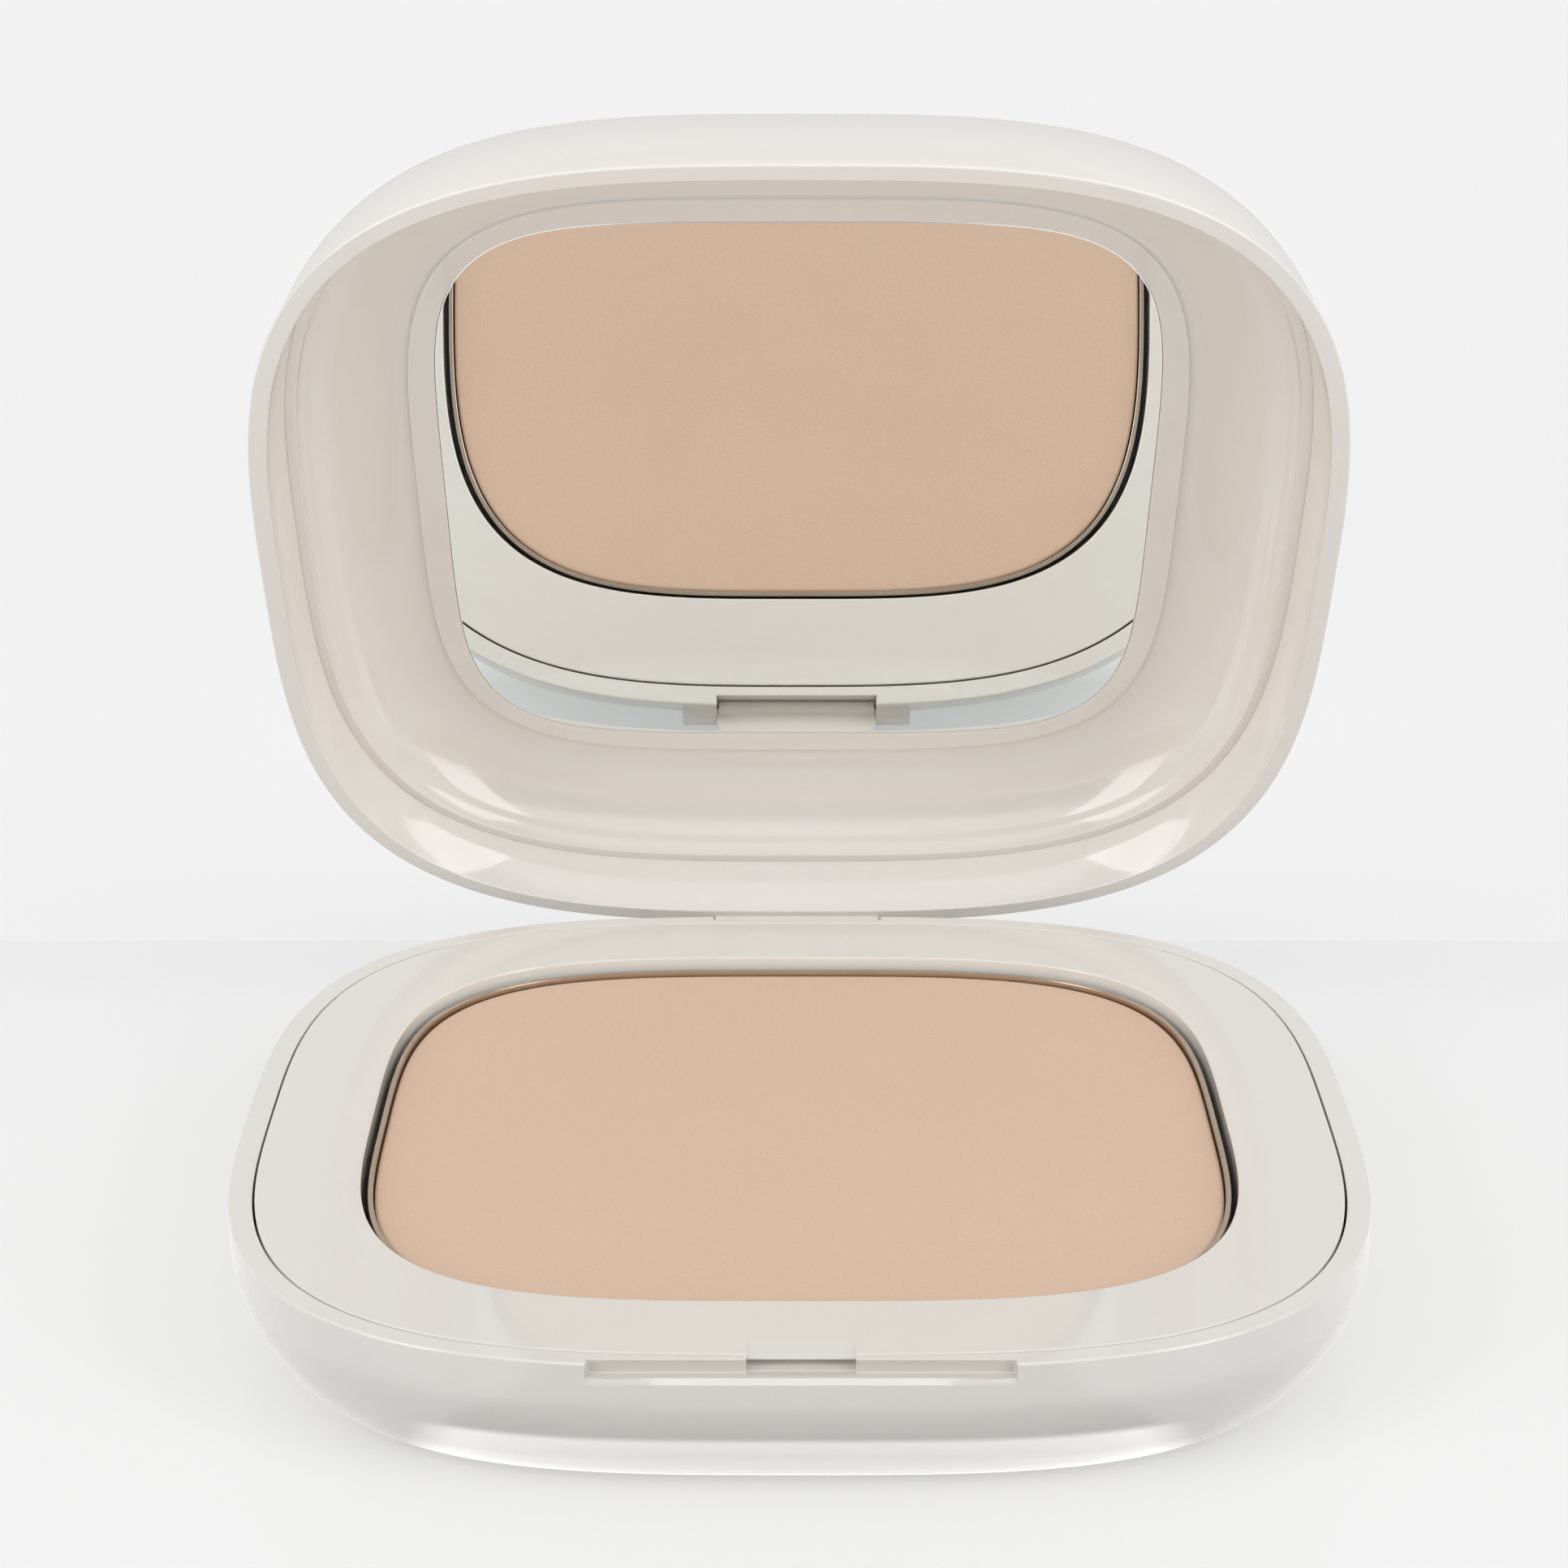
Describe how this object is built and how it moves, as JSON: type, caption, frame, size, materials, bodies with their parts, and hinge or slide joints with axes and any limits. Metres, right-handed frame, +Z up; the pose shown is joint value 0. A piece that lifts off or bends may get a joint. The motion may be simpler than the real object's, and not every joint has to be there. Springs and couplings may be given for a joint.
{
  "type": "powder compact",
  "caption": "Rounded-square powder compact with a hinged domed lid, inset mirror, lift-out refill tray and pressed powder in a metal pan.",
  "frame": {"origin": "centre of the base's flat resting face", "axes": "+Z up out of the resting face, the thumb slot faces -Y, the hinge is at +Y with its axis along X"},
  "size_m": [0.08, 0.0903, 0.0802],
  "materials": {
    "case_plastic": "warm cream white moulded plastic, glossy",
    "tray_plastic": "warm cream white moulded plastic, glossy",
    "pan_metal": "drawn, bright",
    "powder": "matte pressed powder, very fine grain",
    "adhesive": "double-sided adhesive film",
    "pin_steel": "drawn wire",
    "mirror": "silvered flat glass"
  },
  "bodies": {
    "base": {"base_shell": "case_plastic", "hinge_pin": "pin_steel"},
    "refill": {"refill_tray": "tray_plastic", "powder_pan": "pan_metal", "powder_cake": "powder", "pan_pad": "adhesive"},
    "lid": {"lid_shell": "case_plastic", "mirror_frame": "tray_plastic", "mirror_glass": "mirror", "mirror_pad": "adhesive"}
  },
  "joints": [
    {"name": "lid_hinge", "type": "hinge", "parent": "base", "child": "lid", "pos_m": [0, 0.03996, 0.00778], "axis": [-1, 0, 0], "range_deg": [-59.3, 55.7]},
    {"name": "refill_lift", "type": "slide", "parent": "base", "child": "refill", "axis": [0, 0, 1], "range_m": [0, 0.0024]}
  ]
}
